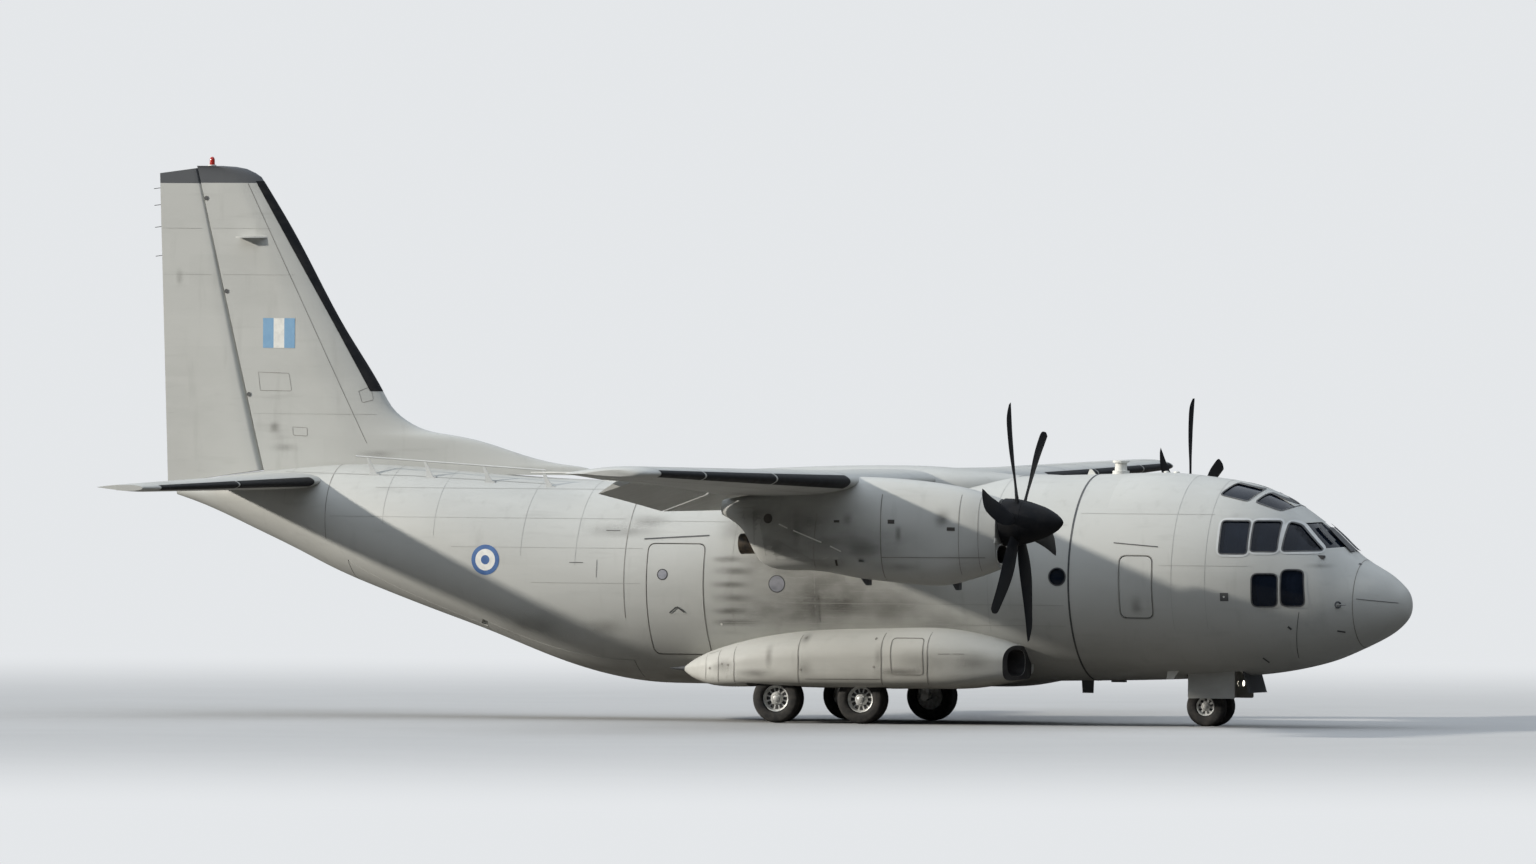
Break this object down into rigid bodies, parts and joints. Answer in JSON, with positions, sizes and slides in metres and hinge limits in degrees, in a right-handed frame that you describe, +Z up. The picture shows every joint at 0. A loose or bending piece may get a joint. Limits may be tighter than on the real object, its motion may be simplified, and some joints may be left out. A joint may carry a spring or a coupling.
{
  "type": "twin turboprop military transport plane",
  "caption": "High-wing twin turboprop transport plane parked on its gear, with a rear loading ramp, doors, flaps and moving control surfaces.",
  "frame": {"origin": "on the ground under the middle of the plane's box", "axes": "+X towards the nose, +Y to port, +Z up"},
  "size_m": [22.8369, 28.7, 9.64],
  "materials": {
    "grey_paint": "matt low-visibility grey, streaked",
    "pale_paint": "matt pale grey",
    "dark_paint": "matt dark grey",
    "blade_black": "satin black",
    "boot_rubber": "matt black de-icing rubber",
    "tyre_rubber": "dusty black rubber",
    "gear_metal": "satin silver",
    "floor_metal": "scuffed bare metal",
    "seat_cover": "woven dark green cover",
    "panel_plastic": "matt black",
    "cockpit_glass": "tinted clear",
    "lamp_lens": "clear lens"
  },
  "bodies": {
    "airframe": {"fuselage_front": "grey_paint", "emergency_hatch": "grey_paint", "radome": "grey_paint", "fuselage_centre": "grey_paint", "fuselage_rear": "grey_paint", "tail_cone": "grey_paint", "para_door_left": "grey_paint", "para_door_right": "grey_paint", "wing_centre": "grey_paint", "fin": "grey_paint", "tailplane": "grey_paint", "nacelle_left": "grey_paint", "nacelle_right": "grey_paint", "nose_door_left": "grey_paint", "nose_door_right": "grey_paint", "wing_outer_left": "grey_paint", "sponson_left": "pale_paint", "main_leg_left": "gear_metal", "pilot_seat_left": "seat_cover", "wing_outer_right": "grey_paint", "sponson_right": "pale_paint", "main_leg_right": "gear_metal", "pilot_seat_right": "seat_cover", "wing_fairing": "pale_paint", "cargo_floor": "floor_metal", "cockpit_floor": "floor_metal", "cockpit_glazing": "cockpit_glass", "instrument_panel": "panel_plastic", "nose_leg": "pale_paint", "rail_aerial": "dark_paint", "nose_door_front": "dark_paint"},
    "crew_door": {"crew_door": "grey_paint"},
    "cargo_ramp": {"cargo_ramp": "grey_paint"},
    "cargo_door_upper": {"cargo_door_upper": "grey_paint"},
    "flap_inner_left": {"flap_inner_left": "grey_paint"},
    "flap_outer_left": {"flap_outer_left": "grey_paint"},
    "aileron_left": {"aileron_left": "grey_paint"},
    "flap_inner_right": {"flap_inner_right": "grey_paint"},
    "flap_outer_right": {"flap_outer_right": "grey_paint"},
    "aileron_right": {"aileron_right": "grey_paint"},
    "elevator_left": {"elevator_left": "grey_paint"},
    "elevator_right": {"elevator_right": "grey_paint"},
    "rudder": {"rudder": "grey_paint"},
    "propeller_left": {"propeller_left": "blade_black", "spinner_left": "blade_black"},
    "main_wheel_left_rear": {"main_tyre_left_rear": "tyre_rubber", "main_hub_left_rear": "gear_metal"},
    "main_wheel_left_front": {"main_tyre_left_front": "tyre_rubber", "main_hub_left_front": "gear_metal"},
    "propeller_right": {"propeller_right": "blade_black", "spinner_right": "blade_black"},
    "main_wheel_right_rear": {"main_tyre_right_rear": "tyre_rubber", "main_hub_right_rear": "gear_metal"},
    "main_wheel_right_front": {"main_tyre_right_front": "tyre_rubber", "main_hub_right_front": "gear_metal"},
    "nose_steering": {"nose_fork": "gear_metal"},
    "nose_wheels": {"nose_tyre_left": "tyre_rubber", "nose_tyre_right": "tyre_rubber", "nose_hub_left": "gear_metal", "nose_hub_right": "gear_metal"}
  },
  "joints": [
    {"name": "crew_door_hinge", "type": "hinge", "parent": "airframe", "child": "crew_door", "pos_m": [7.125, 1.262, 1.318], "axis": [-1, 0, 0], "range_deg": [0, 100]},
    {"name": "ramp_hinge", "type": "hinge", "parent": "airframe", "child": "cargo_ramp", "pos_m": [-2.2, 0, 0.64], "axis": [0, -1, 0], "range_deg": [0, 27]},
    {"name": "upper_door_hinge", "type": "hinge", "parent": "airframe", "child": "cargo_door_upper", "pos_m": [-7.46, 0, 2.9], "axis": [0, -1, 0], "range_deg": [0, 26]},
    {"name": "flap_inner_left_hinge", "type": "hinge", "parent": "airframe", "child": "flap_inner_left", "pos_m": [0.54742, 1.9, 3.67885], "axis": [0, -1, 0], "range_deg": [-22, 16]},
    {"name": "flap_outer_left_hinge", "type": "hinge", "parent": "airframe", "child": "flap_outer_left", "pos_m": [0.55208, 5.32, 3.68087], "axis": [-0.0931, -0.995, -0.037], "range_deg": [-22, 16]},
    {"name": "aileron_left_hinge", "type": "hinge", "parent": "airframe", "child": "aileron_left", "pos_m": [1.05436, 10.69, 4.23007], "axis": [-0.0934, -0.9951, -0.0318], "range_deg": [-20, 20]},
    {"name": "flap_inner_right_hinge", "type": "hinge", "parent": "airframe", "child": "flap_inner_right", "pos_m": [0.54742, -1.9, 3.67885], "axis": [0, -1, 0], "range_deg": [-22, 16]},
    {"name": "flap_outer_right_hinge", "type": "hinge", "parent": "airframe", "child": "flap_outer_right", "pos_m": [0.55208, -5.32, 3.68087], "axis": [0.0931, -0.995, 0.037], "range_deg": [-22, 16]},
    {"name": "aileron_right_hinge", "type": "hinge", "parent": "airframe", "child": "aileron_right", "pos_m": [1.05436, -10.69, 4.23007], "axis": [0.0934, -0.9951, 0.0318], "range_deg": [-20, 20]},
    {"name": "elevator_left_hinge", "type": "hinge", "parent": "airframe", "child": "elevator_left", "pos_m": [-9.57606, 0.7, 4.03833], "axis": [0.0551, -0.9983, 0.0166], "range_deg": [-25, 15]},
    {"name": "elevator_right_hinge", "type": "hinge", "parent": "airframe", "child": "elevator_right", "pos_m": [-9.57606, -0.7, 4.03833], "axis": [-0.0551, -0.9983, -0.0166], "range_deg": [-25, 15]},
    {"name": "rudder_hinge", "type": "hinge", "parent": "airframe", "child": "rudder", "pos_m": [-9.93218, 0, 6], "axis": [-0.2359, 0, 0.9718], "range_deg": [-28, 28]},
    {"name": "propeller_left_spin", "type": "hinge", "parent": "airframe", "child": "propeller_left", "pos_m": [5.89, 4.75, 3.49], "axis": [1, 0, 0], "continuous": true},
    {"name": "main_wheel_left_rear_spin", "type": "hinge", "parent": "airframe", "child": "main_wheel_left_rear", "pos_m": [0.65, 1.88, 0.42], "axis": [0, 1, 0], "continuous": true},
    {"name": "main_wheel_left_front_spin", "type": "hinge", "parent": "airframe", "child": "main_wheel_left_front", "pos_m": [2.17, 1.88, 0.42], "axis": [0, 1, 0], "continuous": true},
    {"name": "propeller_right_spin", "type": "hinge", "parent": "airframe", "child": "propeller_right", "pos_m": [5.89, -4.75, 3.49], "axis": [1, 0, 0], "continuous": true},
    {"name": "main_wheel_right_rear_spin", "type": "hinge", "parent": "airframe", "child": "main_wheel_right_rear", "pos_m": [0.65, -1.88, 0.42], "axis": [0, 1, 0], "continuous": true},
    {"name": "main_wheel_right_front_spin", "type": "hinge", "parent": "airframe", "child": "main_wheel_right_front", "pos_m": [2.17, -1.88, 0.42], "axis": [0, 1, 0], "continuous": true},
    {"name": "nose_steering", "type": "hinge", "parent": "airframe", "child": "nose_steering", "pos_m": [7.86, 0, 0.7], "axis": [0, 0, 1], "range_deg": [-50, 50]},
    {"name": "nose_wheels_spin", "type": "hinge", "parent": "nose_steering", "child": "nose_wheels", "pos_m": [7.8, 0, 0.34], "axis": [0, 1, 0], "continuous": true}
  ],
  "couplings": [
    {"joint": "flap_outer_left_hinge", "follows": "flap_inner_left_hinge", "ratio": 1},
    {"joint": "flap_inner_right_hinge", "follows": "flap_inner_left_hinge", "ratio": 1},
    {"joint": "flap_outer_right_hinge", "follows": "flap_inner_left_hinge", "ratio": 1},
    {"joint": "aileron_right_hinge", "follows": "aileron_left_hinge", "ratio": -1},
    {"joint": "elevator_right_hinge", "follows": "elevator_left_hinge", "ratio": 1}
  ]
}
